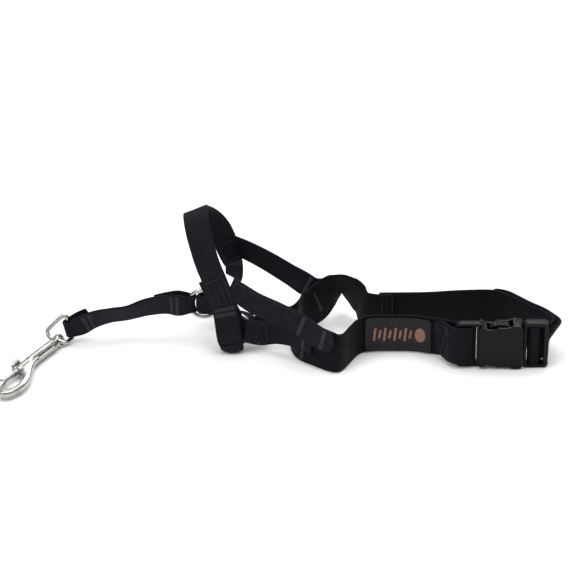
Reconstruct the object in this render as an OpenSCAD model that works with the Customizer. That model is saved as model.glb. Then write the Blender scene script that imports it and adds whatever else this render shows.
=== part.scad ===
// Webbing head halter for a dog: noseband, cheek straps, neck strap with a
// side release buckle, and a safety link with a swivel bolt snap.
// It lies slack on a flat surface. Units are millimetres, +Z is up.

/* [Webbing] */
// Width of the narrow webbing (noseband, cheeks, link)
narrow_w = 15; // [14:0.5:16]
// Width of the neck webbing
neck_w = 25; // [24:0.5:26]
// Thickness of all webbing
web_t = 1.6; // [1.4:0.1:1.7]

/* [Rings] */
// Wire diameter of the side rings and the lead ring
ring_wire_d = 2.4; // [2:0.1:2.4]
// Middle radius of the two side rings
side_ring_r = 10; // [9.8:0.1:10.2]
// Middle radius of the lead ring
lead_ring_r = 9.6; // [9.4:0.1:9.8]

/* [Bolt snap] */
// Wire diameter of the bail
bail_wire_d = 2.6; // [2.4:0.1:2.6]
// Outer diameter of the barrel
barrel_d = 7; // [6.8:0.1:7.2]
// Diameter of the sliding bolt
bolt_d = 3.4; // [3.2:0.1:3.6]
// Gap between the bolt and its bore, on the radius
bolt_gap = 0.08; // [0.05:0.01:0.1]
// Thickness of the flat hook casting
hook_t = 4.4; // [4.2:0.1:4.8]

/* [Buckle] */
// Width of the buckle across the strap
buckle_w = 30.4; // [30:0.2:31]
// Thickness of the buckle
buckle_t = 11; // [10:0.5:12]
// Wall thickness of the female shell
buckle_wall = 1.8; // [1.6:0.1:2]

/* [Hidden] */
$fn = 48;

// Moves the drawing so that the origin is under the middle of the object
rest_centre = [28.9, -2.59, 0];
steps = 4;                      // pieces between two stations of a strap
fold_r = 3.1;                   // middle radius of a fold round a ring
fold_w = 10;                    // gathered width of a fold round a ring
up = [0, 0, 1];

// Rings: the near side ring leans back, the far one stands upright along Y
near_ring_at = [1, 3.5, 12.8];
near_ring_tilt = 30;
far_ring_at = [-3, 32, 13.6];
lead_ring_at = [-17, 17, 24];

// Bail corners and the line of the bolt snap
bail_top = [-101.2, 12.4, 20];
bail_foot = [-96.9, 12, 2.8];
bail_corners = [bail_top, [-112.6, 9.4, 9.2], [-111.4, 6.8, 6], [-101, 5.6, 2.7], bail_foot];
snap_at = [-105.4, 6.1, 4.1];
snap_angle = -122.3;

// Buckle: its middle line runs along X
buckle_at = [162, -16, 15.3];
black = [0.07, 0.07, 0.09];
nickel = [0.78, 0.77, 0.74];

// ---- vector helpers ----
function unit(v) = v / norm(v);
function turned(v, axis, angle) =
    v * cos(angle) + cross(axis, v) * sin(angle)
    + axis * (axis * v) * (1 - cos(angle));
// Smooth curve through four values, at t between the middle two
function smooth(a, b, c, d, t) =
    0.5 * (2 * b + (c - a) * t + (2 * a - 5 * b + 4 * c - d) * t * t
    + (3 * b - a - 3 * c + d) * t * t * t);
function clamped(list, i) = list[max(0, min(len(list) - 1, i))];
// Stations round a fold: [point, width direction, width]
function fold(centre, across, start, angle, radius, width, count = 6) =
    [for (i = [0 : count])
        [centre + radius * turned(start, across, angle * i / count), across, width]];
function place_at(s, i, t, k) =
    smooth(clamped(s, i - 1)[k], s[i][k], clamped(s, i + 1)[k], clamped(s, i + 2)[k], t);
// All stations of a strap, with steps between them
function dense(s) = concat(
    [for (i = [0 : len(s) - 2], j = [0 : steps - 1])
        [for (k = [0 : 2]) place_at(s, i, j / steps, k)]],
    [s[len(s) - 1]]);
// The four corners of the strap at station i
function corners(d, i, thick) =
    let (along = unit(clamped(d, i + 1)[0] - clamped(d, i - 1)[0]),
         flat = unit(d[i][1] - along * (along * d[i][1])),
         face = cross(along, flat),
         half_w = flat * d[i][2] / 2,
         half_t = face * thick / 2)
    [d[i][0] - half_w - half_t, d[i][0] + half_w - half_t,
     d[i][0] + half_w + half_t, d[i][0] - half_w + half_t];

// A strap of webbing swept through its stations
module strap(stations, thick = web_t) {
    d = dense(stations);
    last = len(d) - 1;
    points = [for (i = [0 : last]) each corners(d, i, thick)];
    sides = [for (i = [0 : last - 1], k = [0 : 3])
        let (a = 4 * i + k, b = 4 * i + (k + 1) % 4)
        each [[a, a + 4, b], [b, a + 4, b + 4]]];
    ends = [[0, 1, 2], [0, 2, 3],
            [4 * last, 4 * last + 2, 4 * last + 1], [4 * last, 4 * last + 3, 4 * last + 2]];
    polyhedron(points, concat(sides, ends));
}

module placed() { translate(-rest_centre) children(); }
module ring(radius, wire_d) {
    rotate_extrude($fn = 64) translate([radius, 0]) circle(d = wire_d, $fn = 20);
}
// Points of a closed polygon with each corner bent to a radius
function rounded(list, bend, count = 4) = let (n = len(list))
    [for (i = [0 : n - 1])
        let (c = list[i],
             u = unit(list[(i + n - 1) % n] - c),
             w = unit(list[(i + 1) % n] - c),
             half = acos(u * w) / 2,
             o = c + unit(u + w) * bend / sin(half),
             a = c + u * bend / tan(half),
             b = c + w * bend / tan(half))
        each [for (k = [0 : count]) o + bend * unit((a - o) * (1 - k / count) + (b - o) * k / count)]];
// Round wire bent through a closed list of points lying near one plane
module closed_wire(path, normal, d, sides = 16) {
    n = len(path);
    points = [for (i = [0 : n - 1])
        let (along = unit(path[(i + 1) % n] - path[(i + n - 1) % n]),
             u = unit(cross(normal, along)),
             v = cross(along, u))
        each [for (k = [0 : sides - 1])
            path[i] + (u * cos(360 * k / sides) + v * sin(360 * k / sides)) * d / 2]];
    faces = [for (i = [0 : n - 1], k = [0 : sides - 1])
        let (a = i * sides, b = ((i + 1) % n) * sides, l = (k + 1) % sides)
        each [[a + k, b + k, a + l], [a + l, b + k, b + l]]];
    polyhedron(points, faces);
}

// ---- straps of narrow webbing ----
near_axis = [0, cos(near_ring_tilt), -sin(near_ring_tilt)];
near_fold = near_ring_at + [-0.4, -4.2, -8.9];
far_fold_z = far_ring_at[2] + side_ring_r;

noseband_path = concat(
    [[[-13.2, 5.5, 47.5], [0.98, 0, 0.2], narrow_w],
     [[-9.6, 5.3, 39], [0.96, 0, 0.28], narrow_w],
     [[-5.2, 5.4, 30], [0.95, 0, 0.3], 14],
     [[-0.8, 5, 21.5], [1, 0, 0.1], 12],
     [[0.2, 3.6, 13], [1, 0, 0], 12]],
    fold(near_fold, [-1, 0, 0], [0, 1, 0], 180, fold_r, fold_w),
    [[[-0.6, -3.4, 11], [1, 0, 0], narrow_w],
     [[-2.4, -1.2, 20], [1, 0, 0.1], narrow_w],
     [[-4.9, 2.6, 30], [0.95, 0, 0.3], narrow_w],
     [[-7.6, 3.3, 39], [0.96, 0, 0.28], narrow_w],
     [[-10.8, 3.6, 48], [0.98, 0, 0.2], narrow_w],
     [[-15, 4, 60], [0.97, 0, 0.25], narrow_w],
     [[-19, 7, 74], [0.95, 0.1, 0.28], narrow_w],
     [[-21.2, 13, 82], [0.92, 0.2, 0.28], narrow_w],
     [[-22, 23, 84.6], [0.9, 0.3, 0.25], narrow_w],
     [[-20.4, 33, 78.6], [0.9, 0.3, 0.2], narrow_w],
     [[-14.6, 41.5, 69.5], [0.88, 0.35, 0.15], narrow_w],
     [[-8, 45.5, 59], [0.84, 0.4, 0.1], narrow_w],
     [[-3, 47, 45.6], [0.8, 0.45, 0], narrow_w],
     [[0.6, 46, 34.6], [0.66, 0.7, -0.2], narrow_w],
     [[0.4, 39, 29.5], [0.6, 0.75, -0.2], 13]]);

far_return_path = concat(
    [[[-6.4, 33, 30], [0, 1, 0], 12]],
    fold([far_ring_at[0], far_ring_at[1], far_fold_z - 0.8], [0, 1, 0], [-1, 0, 0], -180, fold_r, fold_w),
    [[[0.3, 34, 28], [0.15, 0.97, -0.1], 12]]);

near_right = near_ring_at + [side_ring_r - 0.9, 0, 0];
near_up = [0, sin(near_ring_tilt), cos(near_ring_tilt)];
lower_near_path = concat(
    [[[22, 7.4, 12.8], [0, 0.2, 0.98], narrow_w],
     [[16, 6.8, 12.8], near_up, narrow_w]],
    fold(near_right, near_up, near_axis, 180, fold_r, fold_w),
    [[[17, 0.5, 12.6], [0, 0.3, 0.95], narrow_w],
     [[26, 0.2, 13.1], [0.05, 0.05, 1], narrow_w],
     [[34, -3.4, 13.9], [0.05, 0, 1], narrow_w],
     [[40, -8.6, 14.6], [0.05, 0, 1], narrow_w],
     [[47.6, -15.8, 15.4], [0.1, 0, 1], narrow_w]]);

lower_far_path = concat(
    [[[10, 29.6, 5], [0, 1, 0], narrow_w],
     [[5, 31.4, 6.2], [0, 1, 0], 13]],
    fold([far_ring_at[0] + 0.8, far_ring_at[1], far_ring_at[2] - side_ring_r + 0.7],
         [0, 1, 0], [0, 0, 1], -180, fold_r, fold_w),
    [[[6, 31.6, 1.4], [0, 1, 0], 13],
     [[15, 26.8, 1.7], [0, 1, 0], narrow_w],
     [[25, 24, 4.4], [0, 0.9, 0.4], narrow_w],
     [[33, 24.4, 8.2], [-0.1, 0.4, 0.9], narrow_w],
     [[38.6, 27.5, 9.5], [-0.2, 0, 1], narrow_w],
     [[43.4, 34, 11], [-0.28, 0, 1], narrow_w]]);

cheek_near_path = [
    [[-1.2, 4.6, 42.4], [0.15, 0, 1], narrow_w],
    [[4.5, 1.6, 39.8], [0.12, 0, 1], narrow_w],
    [[13.8, -2, 35], [0.25, 0, 0.97], narrow_w],
    [[28, -7, 30.4], [0.3, 0, 0.95], narrow_w],
    [[40, -12.4, 26.6], [0.32, 0, 0.95], narrow_w],
    [[50, -19.6, 23], [0.35, -0.1, 0.93], narrow_w],
    [[60.4, -26.6, 20.2], [0.38, -0.2, 0.9], narrow_w]];

cheek_far_path = [
    [[-3.4, 50.6, 46.9], [0.3, -0.2, 0.93], narrow_w],
    [[7.8, 49, 43], [0.3, -0.25, 0.92], narrow_w],
    [[21, 47.6, 36], [0.32, -0.2, 0.93], narrow_w],
    [[34, 44, 29], [0.3, -0.1, 0.95], narrow_w],
    [[42.6, 38.6, 26], [0.3, 0.1, 0.95], narrow_w],
    [[49, 36.6, 23], [0.25, 0, 0.97], narrow_w],
    [[55.5, 41.6, 20], [0.1, 0, 1], narrow_w]];

// The control loop hangs slack through the lead ring and round its right side
control_fold = lead_ring_at - [1.9, 0, 0];
control_path = concat(
    [[[-1, 11, 26.5], [0, -0.1, 1], 11],
     [[-8, 13.4, 25], [0, 0, 1], 12]],
    fold(control_fold, up, [0, -1, 0], -180, 2.6, 9.5),
    [[[-8, 20.8, 23.6], [0, 0, 1], 12],
     [[-5.8, 25.2, 21.8], [0.2, 0.1, 0.97], 10]]);

lead_left = lead_ring_at - [lead_ring_r - 0.5, 0, 0];
link_fold_r = 2.7;
link_up = unit(bail_top - bail_foot);
link_fold = bail_foot + link_up * 7;
link_fold_w = 8;
link_path = concat(
    [[[-46.5, 18.8, 22.8], [0, -0.3, 0.95], narrow_w],
     [[-39.4, 19.2, 24], [0, -0.2, 0.98], narrow_w],
     [[-32.4, 19.8, 24], up, 13]],
    fold(lead_left, up, [0, 1, 0], -180, link_fold_r, link_fold_w),
    [[[-32.4, 14.2, 24], up, 13],
     [[-41, 16, 23.6], [0, -0.22, 0.97], narrow_w],
     [[-52, 16.6, 21.4], [0, -0.3, 0.95], narrow_w],
     [[-63.6, 15.6, 18], [0, -0.44, 0.9], narrow_w],
     [[-74, 13.6, 17.4], [0, -0.44, 0.9], narrow_w],
     [[-84, 10.6, 16.2], [-0.05, -0.3, 0.95], narrow_w],
     [[-91.6, 8.6, 13.2], [-0.2, -0.1, 0.97], 12.6]],
    fold(link_fold, link_up, [0.35, -0.94, 0.1], -165, 2.9, link_fold_w),
    [[[-92.4, 14.6, 12.6], [-0.2, -0.05, 0.97], 13],
     [[-85.4, 13.4, 16.4], [0, -0.2, 0.98], narrow_w]]);

// ---- neck webbing ----
neck_near_path = [
    [[122.5, -6.6, 13.6], up, neck_w],
    [[127.2, -11.4, 14.8], up, neck_w],
    [[130.8, -17.2, 15.3], up, neck_w],
    [[136, -19.8, 15.3], up, neck_w],
    [[141.6, -19.6, 15.3], up, neck_w],
    [[144.8, -18.2, 15.3], up, neck_w],
    [[145.7, -16, 15.3], up, neck_w],
    [[144.8, -13.8, 15.3], up, neck_w],
    [[141.6, -12.6, 15.3], up, neck_w],
    [[136, -12, 15.2], up, neck_w],
    [[129, -7.6, 14], up, neck_w],
    [[121, -3, 12.9], up, neck_w],
    [[110, 0.6, 12.6], up, neck_w],
    [[98, 1.2, 12.6], up, neck_w],
    [[88, 1.2, 12.6], up, neck_w],
    [[80.4, 0, 12.6], up, neck_w],
    [[75.2, -4.6, 12.6], up, neck_w],
    [[70.8, -13, 12.7], up, neck_w],
    [[66.8, -21, 12.8], up, neck_w],
    [[63.2, -23.6, 12.9], [0, 0.12, 0.99], neck_w],
    [[59, -21.6, 12.9], [0.05, 0.25, 0.97], neck_w],
    [[51, -15.4, 12.8], [0.12, 0.26, 0.96], neck_w],
    [[43.8, -9.2, 12.7], [0.28, 0.12, 0.95], neck_w],
    [[40, -3, 12.7], [0.25, 0, 0.97], neck_w],
    [[38.9, 6, 12.7], [0.25, 0, 0.97], neck_w],
    [[40.2, 16, 13], [0.1, 0, 1], neck_w],
    [[45, 25, 14], [-0.25, -0.08, 0.97], neck_w],
    [[51.5, 31.5, 15.6], [-0.44, -0.18, 0.88], neck_w],
    [[56.6, 36.5, 18.8], [-0.4, -0.28, 0.87], neck_w],
    [[61.6, 40.4, 21.8], [-0.24, -0.42, 0.87], neck_w],
    [[67, 41.8, 23.4], [0, -0.58, 0.81], neck_w],
    [[72.6, 39.4, 20.6], [0.05, -0.35, 0.93], neck_w],
    [[77, 35, 17.4], [0.05, -0.12, 0.99], neck_w],
    [[80, 30, 14.2], up, neck_w],
    [[84.4, 26.8, 12.7], up, neck_w],
    [[91, 25.6, 12.6], up, neck_w],
    [[97, 25.8, 12.6], up, neck_w]];

neck_far_path = [
    [[89, 27.8, 12.7], up, neck_w],
    [[100, 28, 12.7], up, neck_w],
    [[118, 28.4, 12.7], up, neck_w],
    [[137, 30.6, 12.7], up, neck_w],
    [[156, 31.4, 12.7], up, neck_w],
    [[164, 28.4, 12.7], up, neck_w],
    [[168.4, 23, 12.7], [0.18, 0, 0.98], neck_w],
    [[175.2, 14, 13], [0.3, 0, 0.95], neck_w],
    [[182.2, 5, 13.4], [0.38, 0, 0.92], neck_w],
    [[186.4, -2.2, 14.9], [0.48, 0, 0.88], neck_w],
    [[188, -6, 15.6], [0.48, 0, 0.88], neck_w],
    [[187.4, -8.6, 15], [0.12, 0, 1], neck_w],
    [[184, -10, 15.3], up, neck_w],
    [[181, -11.2, 15.3], up, neck_w],
    [[178.6, -12.9, 15.3], up, neck_w],
    [[177.8, -15.6, 15.3], up, neck_w],
    [[178.6, -18.1, 15.3], up, neck_w],
    [[181, -19.3, 15.3], up, neck_w],
    [[183.5, -18, 15.3], up, neck_w],
    [[184.4, -15.4, 15.3], up, neck_w],
    [[185.3, -12.8, 15.3], up, neck_w],
    [[187.8, -11.1, 15.2], up, neck_w],
    [[190.2, -10.4, 15.3], [0.3, 0, 0.95], neck_w],
    [[191.2, -8, 15.6], [0.52, 0, 0.85], neck_w],
    [[189.2, -2.4, 14.9], [0.5, 0, 0.87], neck_w],
    [[184.4, 6.6, 13.9], [0.42, 0, 0.91], neck_w],
    [[177.2, 15.8, 13.1], [0.3, 0, 0.95], neck_w],
    [[170.4, 24.8, 12.9], [0.18, 0, 0.98], neck_w],
    [[165.2, 30.6, 12.8], [0.06, 0, 1], neck_w],
    [[157, 33.8, 12.8], up, neck_w]];

module noseband() color(black) placed() {
    strap(noseband_path);
    strap(far_return_path);
}
module cheek_strap_near() color(black) placed() strap(cheek_near_path);
module cheek_strap_far() color(black) placed() strap(cheek_far_path);
module lower_strap_near() color(black) placed() strap(lower_near_path);
module lower_strap_far() color(black) placed() strap(lower_far_path);
module control_loop() color(black) placed() strap(control_path);
module link_strap() color(black) placed() strap(link_path);
module neck_strap_near() color(black) placed() strap(neck_near_path);
module neck_strap_far() color(black) placed() strap(neck_far_path);

// Printed patch sewn on the outer face of the neck strap
label_path = [[80.01, -2.04], [82.98, -0.89], [88.11, -0.42], [93.97, -0.32],
              [101.88, -0.46], [110.16, -1.08], [115.23, -2.48], [119.96, -4.32]];
module neck_label() color([0.12, 0.1, 0.1]) placed()
    strap([for (p = label_path) [[p[0], p[1], 12.6], up, neck_w - 3]], 1);

// ---- rings ----
module side_ring_near() color(nickel) placed()
    translate(near_ring_at) rotate([90 - near_ring_tilt, 0, 0]) ring(side_ring_r, ring_wire_d);
module side_ring_far() color(nickel) placed()
    translate(far_ring_at) rotate([0, 90, 0]) ring(side_ring_r, ring_wire_d);
module lead_ring() color(nickel) placed()
    translate(lead_ring_at) rotate([90, 0, 0]) ring(lead_ring_r, ring_wire_d);

// ---- bolt snap ----
bail_bend = 2.2;                // middle radius of its bent corners
bail_normal = unit(cross(bail_corners[1] - bail_top, bail_foot - bail_top));
module snap_bail() color(nickel) placed()
    closed_wire(rounded(bail_corners, bail_bend), bail_normal, bail_wire_d, 12);

module along_snap() { placed() translate(snap_at) rotate([0, 0, snap_angle]) children(); }
module lengthwise(x) { translate([x, 0, 0]) rotate([0, 90, 0]) children(); }
eye_r = 3.1;
eye_wire_d = 1.7;
eye_turn = 20;
stem_d = 3;
head_d = 4.6;
barrel_start = 5.6;
barrel_end = 30;
bolt_start = 11;
bolt_end = 57.3;
knob_x = 38;
knob_travel = 10;

module snap_swivel_eye() color(nickel) along_snap() {
    rotate([90 + eye_turn, 0, 0]) ring(eye_r, eye_wire_d);
    lengthwise(eye_r) cylinder(d = stem_d, h = barrel_start + 2.5 - eye_r, $fn = 32);
    lengthwise(barrel_start + 2.5) cylinder(d = head_d, h = 1.2, $fn = 32);
}

// Outline of the hook from the barrel round to its tip, and back along the eye
hook_edge = [
    [24, -3.1], [33, -3.2], [41, -3.4], [42.5, -2.8], [42.5, 2.4], [45.2, 2.8],
    [46.2, 5.4], [49, 8.2], [54, 9.9], [60, 10], [64, 8.4], [65, 6],
    [62.6, 3.6], [57.5, 2.4], [57.5, -2.4], [61, -2.4], [66, 0.2], [69.8, 4],
    [70.8, 8], [68, 11.8], [62, 14.1], [55, 14.4], [48, 13], [42, 10.2], [36, 6.8],
    [30, 4.2], [24, 3.1]];
module snap_body() color(nickel) along_snap() difference() {
    union() {
        lengthwise(barrel_start) cylinder(d = barrel_d, h = barrel_end - barrel_start);
        translate([0, 0, -hook_t / 2]) linear_extrude(hook_t) polygon(hook_edge);
        lengthwise(barrel_end - 1) cylinder(d = 5.6, h = 13);
    }
    lengthwise(barrel_start - 1) cylinder(r = stem_d / 2 + 0.1, h = 4, $fn = 32);
    lengthwise(barrel_start + 2.3) cylinder(r = head_d / 2 + 0.1, h = 1.6, $fn = 32);
    lengthwise(bolt_start - 0.6) cylinder(r = bolt_d / 2 + bolt_gap, h = bolt_end - bolt_start);
    // slot for the stem of the thumb knob
    translate([knob_x - knob_travel - 1.3, -12, -1.1]) cube([knob_travel + 2.6, 12, 2.2]);
}
spring_len = 13;
module snap_plunger() color(nickel) along_snap() {
    lengthwise(bolt_start + spring_len) cylinder(d = bolt_d, h = bolt_end - bolt_start - spring_len);
}
knob_stem_d = 1.8;
knob_d = 8;
module snap_thumb_knob() color(nickel) along_snap()
    translate([knob_x, -bolt_d / 2 - 0.02, 0]) rotate([90, 0, 0]) {
        cylinder(d = knob_stem_d, h = 3.2, $fn = 32);
        translate([0, 0, 2]) cylinder(d = knob_d, h = 2, $fn = 48);
    }
module snap_spring() color([0.6, 0.6, 0.6]) along_snap()
    lengthwise(bolt_start + 0.2) difference() {
        cylinder(d = bolt_d - 0.4, h = spring_len - 0.5, $fn = 32);
        translate([0, 0, -1]) cylinder(d = bolt_d - 1.8, h = spring_len + 2, $fn = 24);
    }

// ---- side release buckle ----
// Drawn flat (X along the strap, Y across it, Z its thickness), then stood up
module upright() { placed() translate(buckle_at) rotate([90, 0, 0]) children(); }
module plate(x0, x1, half, thick, round) {
    translate([0, 0, -thick / 2]) linear_extrude(thick)
        translate([x0 + round, -half + round])
            offset(r = round, $fn = 24) square([x1 - x0 - 2 * round, 2 * half - 2 * round]);
}
module block(x0, x1, y0, y1, thick) {
    translate([x0, y0, -thick / 2]) cube([x1 - x0, y1 - y0, thick]);
}
half_w = buckle_w / 2;
slot_half = neck_w / 2 + 0.4;
female_left = -13;
female_right = 12.4;
frame_left = -28;
cavity_half = half_w - 3.2;
cavity_t = buckle_t - 2 * buckle_wall;
window = [-9.4, 6.4];           // side windows of the female shell along X

module buckle_female() color(black) upright() difference() {
    union() {
        plate(female_left - 1, female_right, half_w - 0.6, buckle_t, 2.4);
        plate(frame_left, female_left + 2, half_w - 0.6, 4, 2);
    }
    block(-20.6, -14.2, -slot_half, slot_half, 12);
    block(female_left + 1.8, female_right + 1, -cavity_half, cavity_half, cavity_t);
    for (side = [-1, 1])
        block(window[0], window[1], side > 0 ? cavity_half - 1 : -half_w - 1,
              side > 0 ? half_w + 1 : 1 - cavity_half, cavity_t);
}
tongue_half = 3.2;
module buckle_male() color(black) upright() {
    difference() {
        plate(female_right + 0.4, 27.6, half_w, 6.4, 1.6);
        block(14.4, 25, -slot_half, slot_half, 12);
    }
    difference() {
        block(-6, female_right + 1.6, -tongue_half, tongue_half, 3.2);
        block(-3, 9, -tongue_half + 1.4, tongue_half - 1.4, 8);
    }
    block(17.9, 20, -slot_half - 0.6, slot_half + 0.6, 2.4);
}
// One springy arm with its thumb pad, pivoting where it leaves the male base
module prong(side) {
    mirror([0, side > 0 ? 0 : 1, 0]) {
        block(-4, 12, 8.6, 10.8, 4.6);
        block(-7.6, 4.6, 9.8, 14.4, 5.6);
    }
}
module buckle_prong_upper() color(black) upright() prong(1);
module buckle_prong_lower() color(black) upright() prong(-1);

noseband();
cheek_strap_near();
cheek_strap_far();
lower_strap_near();
lower_strap_far();
control_loop();
neck_strap_near();
neck_strap_far();
neck_label();
buckle_female();
buckle_male();
buckle_prong_upper();
buckle_prong_lower();
side_ring_near();
side_ring_far();
lead_ring();
link_strap();
snap_bail();
snap_swivel_eye();
snap_body();
snap_plunger();
snap_thumb_knob();
snap_spring();
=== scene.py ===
"""A dog's head halter lying slack on a pale floor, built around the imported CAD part.

Webbing, stitches, label, buckle and bolt snap are mesh pieces swept or lofted in code.
They are drawn in the drawing coordinates of the CAD source, in millimetres, and moved
into the frame at the end by framed(). The three rings, the bolt and the spring stay CAD.
"""

import math

import bmesh
import bpy
import numpy as np
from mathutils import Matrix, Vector

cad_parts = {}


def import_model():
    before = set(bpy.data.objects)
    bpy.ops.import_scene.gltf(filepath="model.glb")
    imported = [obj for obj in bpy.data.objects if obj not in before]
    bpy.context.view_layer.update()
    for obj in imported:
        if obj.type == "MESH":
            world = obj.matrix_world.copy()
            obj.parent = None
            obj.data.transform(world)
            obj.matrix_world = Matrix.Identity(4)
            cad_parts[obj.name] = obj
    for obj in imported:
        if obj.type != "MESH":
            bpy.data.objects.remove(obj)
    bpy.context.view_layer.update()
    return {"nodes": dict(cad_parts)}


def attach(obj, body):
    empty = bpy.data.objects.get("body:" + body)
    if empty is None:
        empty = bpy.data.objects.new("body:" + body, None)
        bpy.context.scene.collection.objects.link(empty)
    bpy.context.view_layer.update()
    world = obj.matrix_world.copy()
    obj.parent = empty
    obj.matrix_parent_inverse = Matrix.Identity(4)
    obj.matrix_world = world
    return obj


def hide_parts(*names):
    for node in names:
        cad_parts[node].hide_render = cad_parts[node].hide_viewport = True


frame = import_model()

MM = 0.001
REST_CENTRE = np.array([28.9, -2.59, 0.0])     # drawing point that lies at the frame's origin
UP = (0, 0, 1)
NARROW = 15
WIDE = 25
WEB_T = 1.6
FOLD_R = 3.1

LABEL_W = 22
LABEL_Z = 12.6
LABEL_LIFT = 1.62               # from the middle of the strap to the middle of the label
LABEL_LEFT = 103.1              # distances along the near neck strap of the label's two ends
LABEL_RIGHT = 61.1

NEAR_RING = np.array([1, 3.5, 12.8])
FAR_RING = np.array([-3, 32, 13.6])
LEAD_RING = np.array([-17, 17, 24])
NEAR_TILT = math.radians(30)
SIDE_R = 10
LEAD_R = 9.6

BAIL = np.array([[-101.2, 12.4, 20], [-112.6, 9.4, 9.2], [-111.4, 6.8, 6],
                 [-101, 5.6, 2.7], [-96.9, 12, 2.8]])
BAIL_BEND = 2.2
BAIL_WIRE_R = 1.3
SNAP_AT = np.array([-105.4, 6.1, 4.1])
SNAP_ANGLE = math.radians(-122.3)
BUCKLE_AT = np.array([162, -16, 15.3])


# ---------------------------------------------------------------- small helpers
def framed(points):
    """Drawing millimetres to frame metres."""
    return (np.asarray(points, float) - REST_CENTRE) * MM


def unit(v):
    v = np.asarray(v, float)
    return v / np.linalg.norm(v, axis=-1, keepdims=True)


def smooth_rows(rows, u):
    """Catmull-Rom through the rows, at the parameters u (0 is the first row)."""
    rows = np.asarray(rows, float)
    last = len(rows) - 1
    i = np.minimum(u.astype(int), last - 1)
    t = (u - i)[:, None]
    a, b = rows[np.maximum(i - 1, 0)], rows[i]
    c, d = rows[i + 1], rows[np.minimum(i + 2, last)]
    return 0.5 * (2 * b + (c - a) * t + (2 * a - 5 * b + 4 * c - d) * t * t
                  + (3 * b - a - 3 * c + d) * t ** 3)


def smooth_loop(rows, per=6):
    """Catmull-Rom through a closed list of rows, per points to each of them."""
    rows = np.asarray(rows, float)
    n = len(rows)
    wrapped = np.vstack([rows[-1:], rows, rows[:2]])
    return smooth_rows(wrapped, 1 + np.arange(n * per) / per)


def turned(v, axis, angle):
    v, axis = np.asarray(v, float), np.asarray(axis, float)
    c, s = math.cos(angle), math.sin(angle)
    return v * c + np.cross(axis, v) * s + axis * np.dot(axis, v) * (1 - c)


def closed_mesh(name, verts, faces, lay=None):
    """A mesh object from drawing points, with its faces turned outwards."""
    mesh = bpy.data.meshes.new(name)
    mesh.from_pydata([tuple(p) for p in framed(verts)], [], [tuple(f) for f in faces])
    if lay is not None:
        attribute = mesh.attributes.new("lay", "FLOAT_VECTOR", "POINT")
        attribute.data.foreach_set("vector", np.asarray(lay, np.float32).ravel())
    bm = bmesh.new()
    bm.from_mesh(mesh)
    bmesh.ops.recalc_face_normals(bm, faces=bm.faces)
    bm.to_mesh(mesh)
    bm.free()
    return bpy.data.objects.new(name, mesh)


def add_piece(name, verts, faces, material, body, replaces=(), lay=None, sharp=40):
    """A mesh piece from drawing points, riding on a body."""
    obj = closed_mesh(name, verts, faces, lay)
    return adopt(obj, material, body, replaces, sharp)


def adopt(obj, material, body, replaces=(), sharp=40):
    if obj.name not in bpy.context.scene.collection.objects:
        bpy.context.scene.collection.objects.link(obj)
    mesh = obj.data
    mesh.shade_smooth()
    mesh.set_sharp_from_angle(angle=math.radians(sharp))
    mesh.materials.clear()
    mesh.materials.append(material)
    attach(obj, body)
    if replaces:
        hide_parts(*replaces)
    return obj


# ---------------------------------------------------------------- materials
class Shader:
    """A short way to wire a procedural material."""

    def __init__(self, name, **sockets):
        self.material = bpy.data.materials.new(name)
        self.material.use_nodes = True
        self.tree = self.material.node_tree
        self.bsdf = self.tree.nodes["Principled BSDF"]
        for key, value in sockets.items():
            self.bsdf.inputs[key.replace("_", " ")].default_value = value

    def node(self, kind, **settings):
        node = self.tree.nodes.new(kind)
        for key, value in settings.items():
            setattr(node, key, value)
        return node

    def link(self, source, target):
        self.tree.links.new(source, target)

    def math(self, operation, a, b=0.0, c=None):
        node = self.node("ShaderNodeMath", operation=operation)
        for i, value in enumerate((a, b) if c is None else (a, b, c)):
            if isinstance(value, (int, float)):
                node.inputs[i].default_value = value
            else:
                self.link(value, node.inputs[i])
        return node.outputs[0]

    def wave(self, value, pitch):
        """0 to 1 to 0 over each pitch of value."""
        turn = self.math("MULTIPLY", value, 2 * math.pi / pitch)
        return self.math("MULTIPLY_ADD", self.math("SINE", turn), 0.5, 0.5)

    def noise(self, scale, detail=3.0, vector=None, roughness=0.5):
        node = self.node("ShaderNodeTexNoise")
        node.inputs["Scale"].default_value = scale
        node.inputs["Detail"].default_value = detail
        node.inputs["Roughness"].default_value = roughness
        if vector is None:
            vector = self.node("ShaderNodeTexCoord").outputs["Object"]
        self.link(vector, node.inputs["Vector"])
        return node.outputs["Fac"]

    def ramp(self, factor, stops, socket):
        """Colour or grey stops (position, value) over a 0 to 1 factor, into a socket."""
        node = self.node("ShaderNodeValToRGB")
        ramp = node.color_ramp
        while len(ramp.elements) < len(stops):
            ramp.elements.new(0.5)
        for element, (at, value) in zip(ramp.elements, stops):
            element.position = at
            element.color = (*value, 1) if isinstance(value, tuple) else (value, value, value, 1)
        self.link(factor, node.inputs["Fac"])
        self.link(node.outputs["Color"], self.bsdf.inputs[socket])

    def bump(self, height, distance, strength=1.0):
        node = self.node("ShaderNodeBump")
        node.inputs["Distance"].default_value = distance
        node.inputs["Strength"].default_value = strength
        self.link(height, node.inputs["Height"])
        self.link(node.outputs["Normal"], self.bsdf.inputs["Normal"])


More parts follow.
